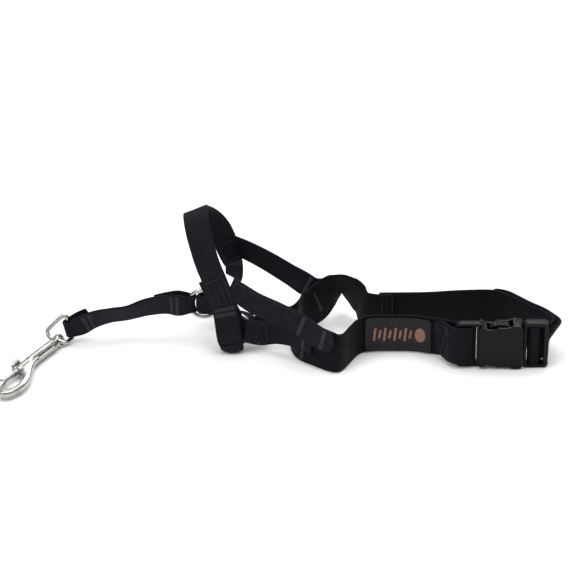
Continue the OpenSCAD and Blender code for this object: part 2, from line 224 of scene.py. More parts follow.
def webbing_material(name, column, dark, light):
    """Nylon webbing: slanted twill ribs in columns that mirror each other, with painted highlight on the rib
    crests and painted shade in the troughs.
    """
    s = Shader(name, Roughness=0.62, Specular_IOR_Level=0.10, Sheen_Weight=0.015,
               Sheen_Roughness=0.45)
    lay = s.node("ShaderNodeAttribute", attribute_name="lay").outputs["Vector"]
    split = s.node("ShaderNodeSeparateXYZ")
    s.link(lay, split.inputs[0])
    along, across = split.outputs["X"], split.outputs["Y"]
    slant = s.math("PINGPONG", s.math("ADD", across, 100), column)
    twill = s.wave(s.math("ADD", along, slant), 1.35)
    warp = s.wave(across, 0.62)
    fibre = s.noise(2600, 3)
    mottle = s.noise(90, 4)
    woven = s.math("MULTIPLY_ADD", warp, 0.35, s.math("MULTIPLY", twill, 0.65))
    rib_shade_and_mottle = s.math("MULTIPLY_ADD", mottle, 0.3, s.math("MULTIPLY", woven, 0.7))
    # Base colour: the random mottle is the nylon's own tone; the twill ribs are painted, the lighter crests
    # as painted highlight and the darker troughs as painted shade.
    s.ramp(rib_shade_and_mottle, [(0.3, dark), (0.78, light)], "Base Color")
    s.ramp(fibre, [(0.3, 0.54), (0.75, 0.74)], "Roughness")
    s.bump(s.math("MULTIPLY_ADD", fibre, 0.25, woven), 0.00026)
    return s.material


def thread_material():
    """Bonded polyester thread: two twisted strands, a little brighter than the webbing."""
    s = Shader("thread", Roughness=0.42, Specular_IOR_Level=0.25, Sheen_Weight=0.03)
    lay = s.node("ShaderNodeAttribute", attribute_name="lay").outputs["Vector"]
    split = s.node("ShaderNodeSeparateXYZ")
    s.link(lay, split.inputs[0])
    twist = s.wave(s.math("ADD", split.outputs["X"], split.outputs["Y"]), 0.45)
    s.ramp(s.math("MULTIPLY_ADD", s.noise(300), 0.4, s.math("MULTIPLY", twist, 0.6)),
           [(0.2, (0.008, 0.009, 0.012)), (0.85, (0.050, 0.054, 0.066))], "Base Color")
    s.bump(twist, 0.00006)
    return s.material


def nickel_material(name, rough, grain, tint=(0.52, 0.51, 0.49)):
    """Nickel plate: mirror bright wire, or a casting with a faint ground grain."""
    s = Shader(name, Metallic=1.0)
    cloud = s.noise(120, 4)
    fine = s.noise(900, 4)
    low = tuple(0.66 * c for c in tint)
    s.ramp(cloud, [(0.35, low), (0.7, tint)], "Base Color")
    s.ramp(fine, [(0.3, rough), (0.75, rough + 0.14)], "Roughness")
    s.bump(s.math("MULTIPLY_ADD", fine, 0.6, s.math("MULTIPLY", cloud, 0.4)), grain)
    return s.material


def plastic_material(name, base, rough):
    """Moulded acetal: even black with a fine spark-eroded texture and faint scuffs."""
    s = Shader(name, Specular_IOR_Level=0.16)
    texture = s.noise(1800, 2)
    scuff = s.noise(160, 5, roughness=0.65)
    s.ramp(scuff, [(0.35, base), (0.75, tuple(1.9 * c for c in base))], "Base Color")
    s.ramp(scuff, [(0.3, rough), (0.7, rough + 0.16)], "Roughness")
    s.bump(texture, 0.00005)
    return s.material


def label_material():
    """Satin woven patch with a fine crosswise thread."""
    s = Shader("label_satin", Roughness=0.4, Specular_IOR_Level=0.2, Sheen_Weight=0.03)
    lay = s.node("ShaderNodeAttribute", attribute_name="lay").outputs["Vector"]
    split = s.node("ShaderNodeSeparateXYZ")
    s.link(lay, split.inputs[0])
    weft = s.wave(split.outputs["Y"], 0.36)
    s.ramp(s.math("MULTIPLY_ADD", s.noise(140), 0.6, s.math("MULTIPLY", weft, 0.4)),
           [(0.25, (0.006, 0.005, 0.008)), (0.85, (0.020, 0.015, 0.019))], "Base Color")
    s.ramp(s.noise(500), [(0.3, 0.34), (0.7, 0.5)], "Roughness")
    s.bump(weft, 0.00004)
    return s.material


def copper_material():
    """Copper-coloured embroidery thread of the motif on the label."""
    s = Shader("copper_thread", Roughness=0.5, Metallic=0.15, Specular_IOR_Level=0.3)
    lay = s.node("ShaderNodeAttribute", attribute_name="lay").outputs["Vector"]
    split = s.node("ShaderNodeSeparateXYZ")
    s.link(lay, split.inputs[0])
    strand = s.wave(split.outputs["Y"], 0.34)
    s.ramp(s.math("MULTIPLY_ADD", s.noise(700), 0.5, s.math("MULTIPLY", strand, 0.5)),
           [(0.2, (0.16, 0.075, 0.05)), (0.85, (0.42, 0.23, 0.165))], "Base Color")
    s.bump(strand, 0.00008)
    return s.material


# Two copies of the same webbing: the wide neck straps get darker colours than the narrow straps, as painted
# shade for the upright neck straps, which turn away from the key light.
NARROW_WEB = webbing_material("webbing_narrow", 2.5, (0.0006, 0.0008, 0.0014), (0.0155, 0.0185, 0.027))
WIDE_WEB = webbing_material("webbing_wide", 3.1, (0.0005, 0.0006, 0.0012), (0.0075, 0.0085, 0.0135))
THREAD = thread_material()
BRIGHT = nickel_material("nickel_bright", 0.09, 0.00002, (0.62, 0.605, 0.58))
CAST = nickel_material("nickel_cast", 0.2, 0.00006)
SPRING = nickel_material("spring_wire", 0.25, 0.00004, (0.5, 0.5, 0.5))
ACETAL = plastic_material("buckle_acetal", (0.0011, 0.0013, 0.0018), 0.24)
LABEL = label_material()
COPPER = copper_material()


# ---------------------------------------------------------------- webbing
def fold(centre, across, start, degrees, width, bend=(0, 0, 0), radius=FOLD_R, count=6):
    """Stations round a fold; bend is how far the two selvedges lean from the middle."""
    return [[np.asarray(centre, float) + radius * turned(start, across, math.radians(degrees * i / count)),
             across, width, bend] for i in range(count + 1)]


class Strap:
    """Webbing swept through stations [point, direction of its width, width, bend]."""

    def __init__(self, stations, thick=WEB_T, step=0.9):
        full = [list(s) + [(0, 0, 0)] * (4 - len(s)) for s in stations]
        rows = np.array([np.concatenate([s[0], s[1], [s[2]], s[3]]) for s in full], float)
        dense = smooth_rows(rows, np.linspace(0, len(rows) - 1, (len(rows) - 1) * 16 + 1))
        gaps = np.linalg.norm(np.diff(dense[:, :3], axis=0), axis=1)
        reach = np.concatenate([[0], np.cumsum(gaps)])
        self.length = reach[-1]
        self.s = np.linspace(0, self.length, int(self.length / step) + 1)
        even = np.array([np.interp(self.s, reach, column) for column in dense.T]).T
        self.thick = thick
        self.point = even[:, :3]
        self.width = even[:, 6]
        self.bend = even[:, 7:10]
        self.along = unit(np.gradient(self.point, self.s, axis=0))
        flat = even[:, 3:6]
        self.across = unit(flat - self.along * np.sum(flat * self.along, axis=1, keepdims=True))
        self.face = np.cross(self.along, self.across)

    def near(self, point, after=0.0):
        """Distance along the strap of its place nearest to a drawing point."""
        far = np.linalg.norm(self.point - np.asarray(point, float), axis=1)
        far[self.s < after] = 1e9
        return self.s[int(np.argmin(far))]

    def side(self, s, towards):
        """+1 or -1: which face of the strap looks towards a direction at s."""
        return 1 if np.dot(self.value(self.face, s), towards) > 0 else -1

    def value(self, rows, s):
        return np.array([np.interp(s, self.s, column) for column in rows.T])

    def at(self, s, v, h):
        """The drawing point at s along, v across and h off the middle of the strap."""
        width = np.interp(s, self.s, self.width)
        lean = self.value(self.bend, s) * (2 * v / width) ** 2
        return (self.value(self.point, s) + self.value(self.across, s) * v
                + self.value(self.face, s) * h + lean)

    def build(self, name, material, body, replaces=(), slot="webbing", rounds=(0, 0), across=12):
        """rounds are the corner radii of the two cut ends."""
        half = self.thick / 2
        u = np.linspace(1, -1, across + 1)
        arc = np.radians([120, 150, 180, 210, 240])
        section = [(x, 0, 1) for x in u] + [(-1, math.cos(a), math.sin(a)) for a in arc]
        section += [(x, 0, -1) for x in -u] + [(1, -math.cos(a), -math.sin(a)) for a in arc]
        section = np.array(section)
        verts, lay = [], []
        for i, s in enumerate(self.s):
            cut = 0
            for radius, away in zip(rounds, (s, self.length - s)):
                if radius and away < radius:
                    cut += radius - math.sqrt(max(0, radius ** 2 - (radius - away) ** 2))
            singed = 0.8 if i in (0, len(self.s) - 1) else 1
            reach = self.width[i] / 2 - half - cut
            v = section[:, 0] * reach + section[:, 1] * half
            # selvedges are woven tighter, so they stand a little proud of the middle
            h = section[:, 2] * half * singed * (0.95 + 0.07 * np.abs(section[:, 0]) ** 10)
            lean = self.bend[i] * ((2 * v / self.width[i]) ** 2)[:, None]
            verts.append(self.point[i] + np.outer(v, self.across[i]) + np.outer(h, self.face[i]) + lean)
            lay.append(np.stack([np.full(len(v), s), v, h], axis=1))
        m = len(section)
        faces = [(r * m + k, r * m + (k + 1) % m, (r + 1) * m + (k + 1) % m, (r + 1) * m + k)
                 for r in range(len(self.s) - 1) for k in range(m)]
        last = (len(self.s) - 1) * m
        faces += [tuple(range(m)), tuple(last + k for k in range(m))]
        return add_piece(name, np.vstack(verts), faces, material, body, replaces, np.vstack(lay), 50)


class Sewing:
    """Stitches lying on straps, gathered into one piece."""

    def __init__(self, name, body):
        self.name, self.body = name, body
        self.verts, self.faces, self.lay = [], [], []

    def stitch(self, strap, side, a, b, radius=0.23, sides=6):
        """One thread from a to b, both (s, v): it rises from the webbing and dips again."""
        base = sum(len(v) for v in self.verts)
        steps = [(0, -0.3, 0.6), (0.12, 0.08, 0.95), (0.5, 0.17, 1), (0.88, 0.08, 0.95), (1, -0.3, 0.6)]
        middle = [strap.at(a[0] + (b[0] - a[0]) * t, a[1] + (b[1] - a[1]) * t,
                           side * (strap.thick / 2 + lift)) for t, lift, _ in steps]
        along = unit(middle[-1] - middle[0])
        out = strap.value(strap.face, (a[0] + b[0]) / 2) * side
        out = unit(out - along * np.dot(out, along))
        over = np.cross(along, out)
        angles = np.arange(sides) * 2 * math.pi / sides
        for (t, _, scale), centre in zip(steps, middle):
            ring = [centre + (out * math.cos(q) + over * math.sin(q)) * radius * scale for q in angles]
            self.verts.append(np.array(ring))
            self.lay.append(np.stack([np.full(sides, t * 2.0), angles * 0.07, np.zeros(sides)], axis=1))
        for r in range(len(steps) - 1):
            for k in range(sides):
                n = (k + 1) % sides
                self.faces.append((base + r * sides + k, base + r * sides + n,
                                   base + (r + 1) * sides + n, base + (r + 1) * sides + k))
        top = base + (len(steps) - 1) * sides
        self.faces += [tuple(base + k for k in range(sides)), tuple(top + k for k in range(sides))]

    def run(self, strap, side, a, b, pitch=2.3, gap=0.3):
        """A straight row of stitches from a to b."""
        a, b = np.array(a, float), np.array(b, float)
        count = max(1, round(np.linalg.norm(b - a) / pitch))
        for i in range(count):
            start = a + (b - a) * (i + gap / 2) / count
            end = a + (b - a) * (i + 1 - gap / 2) / count
            self.stitch(strap, side, start, end)

    def box(self, strap, side, s0, s1, v0, v1, cross=False):
        """A sewn rectangle, with a cross in it if asked."""
        for a, b in (((s0, v0), (s1, v0)), ((s1, v0), (s1, v1)), ((s1, v1), (s0, v1)), ((s0, v1), (s0, v0))):
            self.run(strap, side, a, b)
        if cross:
            self.run(strap, side, (s0, v0), (s1, v1))
            self.run(strap, side, (s0, v1), (s1, v0))

    def tack(self, strap, side, s, v0, v1, long=2.6, pitch=0.62, slant=0.5):
        """A bar tack: close slanted stitches side by side across the strap."""
        for v in np.arange(v0, v1, pitch):
            self.stitch(strap, side, (s - long / 2, v), (s + long / 2, v + slant), radius=0.26)

    def build(self, replaces=()):
        return add_piece(self.name, np.vstack(self.verts), self.faces, THREAD, self.body,
                         replaces, np.vstack(self.lay), 60)


near_axis = np.array([0, math.cos(NEAR_TILT), -math.sin(NEAR_TILT)])
near_up = np.array([0, math.sin(NEAR_TILT), math.cos(NEAR_TILT)])

noseband = Strap(
    [[(-13.2, 5.5, 47.5), (0.98, 0, 0.2), NARROW],
     [(-9.6, 5.3, 39), (0.96, 0, 0.28), NARROW],
     [(-5.2, 5.4, 30), (0.95, 0, 0.3), 14.4],
     [(-0.8, 5, 21.5), (1, 0, 0.1), 13.4],
     [(0.2, 3.6, 13), (1, 0, 0), 13]]
    + fold(NEAR_RING + [-1.2, -4.2, -8.9], (-1, 0, 0), (0, 1, 0), 180, 14, (0, 1.0, 1.7))
    + [[(-1.7, -3.4, 11), (1, 0, 0), NARROW],
       [(-3, -1.2, 20), (1, 0, 0.1), NARROW],
       [(-4.9, 2.6, 30), (0.95, 0, 0.3), NARROW],
       [(-7.6, 3.3, 39), (0.96, 0, 0.28), NARROW],
       [(-10.8, 3.6, 48), (0.98, 0, 0.2), NARROW],
       [(-15, 4, 60), (0.97, 0, 0.25), NARROW],
       [(-19, 7, 74), (0.95, 0.1, 0.28), NARROW],
       [(-21.2, 13, 82), (0.92, 0.2, 0.28), NARROW],
       [(-22, 23, 84.6), (0.9, 0.3, 0.25), NARROW],
       [(-20.4, 33, 78.6), (0.9, 0.3, 0.2), NARROW],
       [(-14.6, 41.5, 69.5), (0.88, 0.35, 0.15), NARROW],
       [(-8, 45.5, 59), (0.84, 0.4, 0.1), NARROW],
       [(-3, 47, 45.6), (0.8, 0.45, 0), NARROW],
       [(0.6, 46, 34.6), (0.66, 0.7, -0.2), NARROW],
       [(0.4, 39, 29.5), (0.6, 0.75, -0.2), 13]])
far_return = Strap(
    [[(-6.4, 33, 30), (0, 1, 0), 12]]
    + fold(FAR_RING + [0, 0, SIDE_R - 0.8], (0, 1, 0), (-1, 0, 0), -180, 12)
    + [[(0.3, 34, 28), (0.15, 0.97, -0.1), 12]])
cheek_near = Strap(
    [[(-1.2, 4.6, 42.4), (0.15, 0, 1), NARROW],
     [(4.5, 1.6, 39.8), (0.12, 0, 1), NARROW],
     [(13.8, -2, 35), (0.25, 0, 0.97), NARROW],
     [(28, -7, 30.4), (0.3, 0, 0.95), NARROW],
     [(40, -12.4, 26.6), (0.32, 0, 0.95), NARROW],
     [(50, -19.6, 23), (0.35, -0.1, 0.93), NARROW],
     [(60.4, -26.6, 20.2), (0.38, -0.2, 0.9), NARROW]])
cheek_far = Strap(
    [[(-3.4, 50.6, 46.9), (0.3, -0.2, 0.93), NARROW],
     [(7.8, 49, 43), (0.3, -0.25, 0.92), NARROW],
     [(21, 47.6, 36), (0.32, -0.2, 0.93), NARROW],
     [(34, 44, 29), (0.3, -0.1, 0.95), NARROW],
     [(42.6, 38.6, 26), (0.3, 0.1, 0.95), NARROW],
     [(49, 36.6, 23), (0.25, 0, 0.97), NARROW],
     [(55.5, 41.6, 20), (0.1, 0, 1), NARROW]])
lower_near = Strap(
    [[(22, 7.4, 12.8), (0, 0.2, 0.98), NARROW],
     [(16, 6.8, 12.8), near_up, NARROW]]
    + fold(NEAR_RING + [SIDE_R - 0.9, 0, 0], near_up, near_axis, 180, 14, (-2.6, 0, 0))
    + [[(17, 0.5, 12.6), (0, 0.3, 0.95), NARROW],
       [(26, 0.2, 13.1), (0.05, 0.05, 1), NARROW],
       [(34, -3.4, 13.9), (0.05, 0, 1), NARROW],
       [(40, -8.6, 14.6), (0.05, 0, 1), NARROW],
       [(47.6, -15.8, 15.4), (0.1, 0, 1), NARROW]])
lower_far = Strap(
    [[(10, 29.6, 5), (0, 1, 0), NARROW],
     [(5, 31.4, 6.2), (0, 1, 0), 13]]
    + fold(FAR_RING + [0.8, 0, 0.7 - SIDE_R], (0, 1, 0), (0, 0, 1), -180, 12)
    + [[(6, 31.6, 1.4), (0, 1, 0), 13],
       [(15, 26.8, 1.7), (0, 1, 0), NARROW],
       [(25, 24, 4.4), (0, 0.9, 0.4), NARROW],
       [(33, 24.4, 8.2), (-0.1, 0.4, 0.9), NARROW],
       [(38.6, 27.5, 9.5), (-0.2, 0, 1), NARROW],
       [(43.4, 34, 11), (-0.28, 0, 1), NARROW]])
control = Strap(
    [[(-1, 11, 26.5), (0, -0.1, 1), 12],
     [(-8, 13.4, 25), UP, 13]]
    + fold(LEAD_RING - [1.9, 0, 0], UP, (0, -1, 0), -180, 12.4, (0.9, 0, 0), radius=2.6)
    + [[(-8, 20.8, 23.6), UP, 13],
       [(-5.8, 25.2, 21.8), (0.2, 0.1, 0.97), 10.4]])

bail_up = unit(BAIL[0] - BAIL[4])
link = Strap(
    [[(-46.5, 18.8, 22.8), (0, -0.3, 0.95), NARROW],
     [(-39.4, 19.2, 24), (0, -0.2, 0.98), NARROW],
     [(-32.4, 19.8, 24), UP, 14.4]]
    + fold(LEAD_RING - [LEAD_R - 0.5, 0, 0], UP, (0, 1, 0), -180, 10.6, (1.5, 0, 0), radius=2.7)
    + [[(-32.4, 14.2, 24), UP, 14.4],
       [(-41, 16, 23.6), (0, -0.22, 0.97), NARROW],
       [(-52, 16.6, 21.4), (0, -0.3, 0.95), NARROW],
       [(-63.6, 15.6, 18), (0, -0.44, 0.9), NARROW],
       [(-74, 13.6, 17.4), (0, -0.44, 0.9), NARROW],
       [(-84, 10.6, 16.2), (-0.05, -0.3, 0.95), NARROW],
       [(-91.6, 8.6, 13.2), (-0.2, -0.1, 0.97), 13.4]]
    + fold(BAIL[4] + bail_up * 7, bail_up, (0.35, -0.94, 0.1), -165, 10.4, radius=2.9)
    + [[(-92.4, 14.6, 12.6), (-0.2, -0.05, 0.97), 13.6],
       [(-85.4, 13.4, 16.4), (0, -0.2, 0.98), NARROW]])


def wide(rows):
    """Neck stations: [point] stands up straight, [point, direction] leans."""
    return [[row[0], row[1] if len(row) > 1 else UP, WIDE] for row in rows]


neck_near = Strap(wide([
    [(122.5, -6.6, 13.6)], [(127.2, -11.4, 14.8)], [(130.8, -17.2, 15.3)], [(136, -19.8, 15.3)],
    [(141.6, -19.6, 15.3)], [(144.8, -18.2, 15.3)], [(145.7, -16, 15.3)], [(144.8, -13.8, 15.3)],
    [(141.6, -12.6, 15.3)], [(136, -12, 15.2)], [(129, -7.6, 14)], [(121, -3, 12.9)],
    [(110, 0.6, 12.6)], [(98, 1.2, 12.6)], [(88, 1.2, 12.6)], [(80.4, 0, 12.6)],
    [(75.2, -4.6, 12.6)], [(70.8, -13, 12.7)], [(66.8, -21, 12.8)], [(63.2, -23.6, 12.9), (0, 0.12, 0.99)],
    [(59, -21.6, 12.9), (0.05, 0.25, 0.97)], [(51, -15.4, 12.8), (0.12, 0.26, 0.96)],
    [(43.8, -9.2, 12.7), (0.28, 0.12, 0.95)],
    [(40, -3, 12.7), (0.25, 0, 0.97)], [(38.9, 6, 12.7), (0.25, 0, 0.97)],
    [(40.2, 16, 13), (0.1, 0, 1)], [(45, 25, 14), (-0.25, -0.08, 0.97)],
    [(51.5, 31.5, 15.6), (-0.44, -0.18, 0.88)], [(56.6, 36.5, 18.8), (-0.4, -0.28, 0.87)],
    [(61.6, 40.4, 21.8), (-0.24, -0.42, 0.87)], [(67, 41.8, 23.4), (0, -0.58, 0.81)],
    [(72.6, 39.4, 20.6), (0.05, -0.35, 0.93)], [(77, 35, 17.4), (0.05, -0.12, 0.99)],
    [(80, 30, 14.2)], [(84.4, 26.8, 12.7)], [(91, 25.6, 12.6)], [(97, 25.8, 12.6)]]))
neck_far = Strap(wide([
    [(89, 27.8, 12.7)], [(100, 28, 12.7)], [(118, 28.4, 12.7)], [(137, 30.6, 12.7)],
    [(156, 31.4, 12.7)], [(164, 28.4, 12.7)], [(168.4, 23, 12.7), (0.18, 0, 0.98)],
    [(175.2, 14, 13), (0.3, 0, 0.95)], [(182.2, 5, 13.4), (0.38, 0, 0.92)],
    [(186.4, -2.2, 14.9), (0.48, 0, 0.88)], [(188, -6, 15.6), (0.48, 0, 0.88)],
    [(187.4, -8.6, 15), (0.12, 0, 1)], [(184, -10, 15.3)], [(181, -11.2, 15.3)],
    [(178.6, -12.9, 15.3)], [(177.8, -15.6, 15.3)], [(178.6, -18.1, 15.3)], [(181, -19.3, 15.3)],
    [(183.5, -18, 15.3)], [(184.4, -15.4, 15.3)], [(185.3, -12.8, 15.3)], [(187.8, -11.1, 15.2)],
    [(190.2, -10.4, 15.3), (0.3, 0, 0.95)], [(191.2, -8, 15.6), (0.52, 0, 0.85)],
    [(189.2, -2.4, 14.9), (0.5, 0, 0.87)], [(184.4, 6.6, 13.9), (0.42, 0, 0.91)],
    [(177.2, 15.8, 13.1), (0.3, 0, 0.95)], [(170.4, 24.8, 12.9), (0.18, 0, 0.98)],
    [(165.2, 30.6, 12.8), (0.06, 0, 1)], [(157, 33.8, 12.8)]]))


def label_stations():
    """Stations of the label along the outer face of the near neck strap, from left to right."""
    stations = []
    for along in np.linspace(LABEL_LEFT, LABEL_RIGHT, 8):
        out = neck_near.value(neck_near.face, along)
        out = unit(np.array([out[0], out[1], 0]))
        if out[1] > 0:
            out = -out
        point = neck_near.value(neck_near.point, along) + LABEL_LIFT * out
        stations.append([(point[0], point[1], LABEL_Z), UP, LABEL_W])
    return stations


label = Strap(label_stations(), thick=1.0)

noseband.build("noseband_webbing", NARROW_WEB, "halter", ("noseband",))
far_return.build("noseband_far_return", NARROW_WEB, "halter")
cheek_near.build("cheek_near_webbing", NARROW_WEB, "halter", ("cheek_strap_near",), rounds=(0, 5))
cheek_far.build("cheek_far_webbing", NARROW_WEB, "halter", ("cheek_strap_far",))
lower_near.build("lower_near_webbing", NARROW_WEB, "halter", ("lower_strap_near",))
lower_far.build("lower_far_webbing", NARROW_WEB, "halter", ("lower_strap_far",))
control.build("control_webbing", NARROW_WEB, "halter", ("control_loop",))
link.build("link_webbing", NARROW_WEB, "link", ("link_strap",))
neck_near.build("neck_near_webbing", WIDE_WEB, "halter", ("neck_strap_near",), rounds=(7, 0), across=16)
neck_far.build("neck_far_webbing", WIDE_WEB, "halter", ("neck_strap_far",), rounds=(0, 5), across=16)
label.build("label_patch", LABEL, "halter", ("neck_label",), "label", rounds=(1.6, 1.6), across=16)

# ---------------------------------------------------------------- stitches
FRONT = np.array([0, -1, 0.4])

sewing = Sewing("noseband_stitches", "halter")
low, high = noseband.near((-4.4, 2.2, 29), 60), noseband.near((-10.8, 3.6, 48), 60)
front = noseband.side(low, FRONT)
for v in (-5.4, -1.9, 1.9, 5.4):
    sewing.run(noseband, front, (low + 2, v), (high, v))
sewing.run(noseband, front, (high, -5.4), (high, 5.4))
sewing.tack(noseband, front, low - 0.5, -6.2, 6)
sewing.tack(noseband, front, low - 4.0, -6.2, 6)
far_seam = noseband.near((1, 46, 35))
inner = noseband.side(far_seam, FRONT)
sewing.tack(noseband, inner, far_seam, -6.2, 6)
sewing.box(noseband, inner, far_seam - 15, far_seam - 3, -5.4, 5.4)
sewing.build()

sewing = Sewing("cheek_stitches", "halter")
front = cheek_near.side(20, FRONT)
for x, y, z in ((41.6, -13.4, 26), (54.6, -22.6, 21.6)):
    sewing.tack(cheek_near, front, cheek_near.near((x, y, z)), -6.4, 6.2, long=3.0)
sewing.run(cheek_near, front, (7, 6.1), (cheek_near.near((41.6, -13.4, 26)) - 3, 6.1), pitch=2.0)
sewing.box(cheek_near, front, 2.6, 9, -5.8, 5.8)
back = cheek_far.side(20, FRONT)
sewing.tack(cheek_far, back, cheek_far.near((46, 37.4, 24.5)), -6.4, 6.2)
sewing.build()

sewing = Sewing("lower_stitches", "halter")
seam = lower_near.near((15, -0.4, 12.6), 18)
front = lower_near.side(seam, FRONT)
sewing.box(lower_near, front, seam, seam + 5.4, -5.8, 5.8)
sewing.tack(lower_near, front, lower_near.near((43, -11.3, 15)), -6.2, 6)
sewing.build()

sewing = Sewing("link_stitches", "link")
seam = link.near((-33, 14.2, 24), 16)
front = link.side(seam, FRONT)
sewing.tack(link, front, seam, -6.2, 6)
sewing.tack(link, front, seam + 3.4, -6.2, 6)
left = link.near((-86, 10, 15.6), 60)
sewing.tack(link, front, left, -6.2, 6)
sewing.tack(link, front, left + 3.4, -6, 5.6)
sewing.build()

sewing = Sewing("neck_stitches", "halter")
tab = neck_near.near((129, -14.4, 15))
front = neck_near.side(tab, FRONT)
sewing.box(neck_near, front, 3.2, tab + 2, -10.2, 10.2, cross=True)
seam = neck_near.near((93, 25.7, 12.6), 150)
inner = neck_near.side(seam, FRONT)
for shift in (-2.4, 0, 3.6):
    sewing.run(neck_near, inner, (seam + shift, -11), (seam + shift, 11))
vee = neck_near.near((66.8, -21, 12.8))
front = neck_near.side(vee, FRONT)
sewing.run(neck_near, front, (vee - 1.2, -11), (vee - 1.2, 11))
cross_near = neck_near.near((44, -9.8, 12.7))
sewing.tack(neck_near, neck_near.side(cross_near, FRONT), cross_near, -11, 10.8)
crest = neck_near.near((51.5, 31.5, 15.6))
sewing.tack(neck_near, neck_near.side(crest, FRONT), crest, -6, 8)
tail = neck_far.near((157, 33.8, 12.8), 130)
sewing.box(neck_far, neck_far.side(tail, -FRONT), tail - 8, tail - 2.5, -9, 9)
sewing.build()

sewing = Sewing("label_stitches", "halter")
front = label.side(10, FRONT)
sewing.box(label, front, 1.4, label.length - 1.4, -9.9, 9.9)
sewing.box(label, front, 2.9, label.length - 2.9, -8.8, 8.8)
sewing.build()


# ---------------------------------------------------------------- motif of the label
def motif():
    """A row of slanted copper bars and a plain oval, embroidered on the label."""
    verts, faces, lay = [], [], []

    def patch(outline, height=0.28):
        """A raised pad on the label from an outline of (s, v) points."""
        base = len(verts)
        outline = np.asarray(outline, float)
        middle = outline.mean(axis=0)
        for scale, lift in ((1.0, -0.1), (0.97, height * 0.7), (0.8, height)):
            for s, v in middle + (outline - middle) * scale:
                verts.append(label.at(s, v, front * (label.thick / 2 + lift)))
                lay.append((s, v + 0.4 * s, 0))
        n = len(outline)
        for r in range(2):
            for k in range(n):
                m = (k + 1) % n
                faces.append((base + r * n + k, base + r * n + m,
                              base + (r + 1) * n + m, base + (r + 1) * n + k))
        faces.append(tuple(base + 2 * n + k for k in range(n)))

    for i in range(8):
        s = 5.0 + i * 3.1
        tall = 4.6 if i % 2 == 0 else 2.8
        patch([(s - 0.3, -tall), (s + 1.2, -tall), (s + 2.1, tall), (s + 0.6, tall)])
    angles = np.linspace(0, 2 * math.pi, 24, endpoint=False)
    centre = (33.6, 0.1)
    patch([(centre[0] + 3.4 * math.cos(a), centre[1] + 4.9 * math.sin(a)) for a in angles])
    add_piece("label_motif", verts, faces, COPPER, "halter", lay=lay, sharp=60)


front = label.side(10, FRONT)
motif()


# ---------------------------------------------------------------- wire and castings
def loft(rings, closed=False, capped=True):
    """Faces between rings of equal length; closed joins the last to the first."""
    count, n = len(rings), len(rings[0])
    verts = np.vstack(rings)
    faces = []
    for r in range(count if closed else count - 1):
        a, b = r * n, ((r + 1) % count) * n
        faces += [(a + k, a + (k + 1) % n, b + (k + 1) % n, b + k) for k in range(n)]
    if capped and not closed:
        faces += [tuple(range(n)), tuple((count - 1) * n + k for k in range(n))]
    return verts, faces


def bail_wire():
    """The bail: one bright wire bent through its rounded corners, with a welded seam."""
    path = []
    for i, corner in enumerate(BAIL):
        u, w = unit(BAIL[i - 1] - corner), unit(BAIL[(i + 1) % len(BAIL)] - corner)
        half = math.acos(np.dot(u, w)) / 2
        centre = corner + unit(u + w) * BAIL_BEND / math.sin(half)
        a, b = (corner + side * BAIL_BEND / math.tan(half) - centre for side in (u, w))
        path += [centre + BAIL_BEND * unit(a * (1 - t) + b * t) for t in np.linspace(0, 1, 9)]
    path = np.array(path)
    normal = unit(np.cross(BAIL[1] - BAIL[0], BAIL[4] - BAIL[0]))
    along = unit(np.roll(path, -1, axis=0) - np.roll(path, 1, axis=0))
    angles = np.linspace(0, 2 * math.pi, 24, endpoint=False)
    rings = []
    for point, direction in zip(path, along):
        u = unit(np.cross(normal, direction))
        v = np.cross(direction, u)
        round_wire = np.outer(np.cos(angles), u) + np.outer(np.sin(angles), v)
        rings.append(point + round_wire * BAIL_WIRE_R)
    verts, faces = loft(rings, closed=True)
    add_piece("bail_wire", verts, faces, BRIGHT, "bail", ("snap_bail",))


snap_x = np.array([math.cos(SNAP_ANGLE), math.sin(SNAP_ANGLE), 0])
snap_y = np.array([-snap_x[1], snap_x[0], 0])


def on_snap(points):
    """Points along, across and above the bolt snap's axis, as drawing points."""
    p = np.asarray(points, float)
    return SNAP_AT + np.outer(p[:, 0], snap_x) + np.outer(p[:, 1], snap_y) + np.outer(p[:, 2], UP)


def lathe(profile, around, sides=40):
    """Rings of a turned piece: profile rows (distance along, radius) about the snap's axis."""
    angles = np.linspace(0, 2 * math.pi, sides, endpoint=False)
    return [np.stack([np.full(sides, x), r * around * np.cos(angles), r * np.sin(angles)], axis=1)
            for x, r in profile]


def swivel_eye():
    """The swivel: a forged eye like a short band, a stem, and the flange that meets the barrel."""
    turn = math.radians(20)
    axis = np.array([0, -math.cos(turn), -math.sin(turn)])
    side = np.array([0, -math.sin(turn), math.cos(turn)])
    rings = []
    for a in np.linspace(0, 2 * math.pi, 48, endpoint=False):
        out = np.array([math.cos(a), 0, 0]) + side * math.sin(a)
        broad = 1.8 + 0.35 * max(0, math.cos(a))
        q = np.linspace(0, 2 * math.pi, 20, endpoint=False)
        rings.append(out * 3.2 + np.outer(0.95 * np.cos(q), out) + np.outer(broad * np.sin(q), axis))
    verts, faces = loft(rings, closed=True)
    add_piece("swivel_band", on_snap(verts), faces, BRIGHT, "swivel", ("snap_swivel_eye",))
    profile = [(3.0, 1.5), (3.4, 2.7), (4.1, 3.1), (5.0, 3.15), (5.3, 2.9), (5.32, 1.45),
               (8.0, 1.45), (8.02, 2.2), (9.2, 2.2), (9.3, 1.5)]
    verts, faces = loft(lathe(profile, 1))
    add_piece("swivel_stem", on_snap(verts), faces, BRIGHT, "swivel", sharp=35)


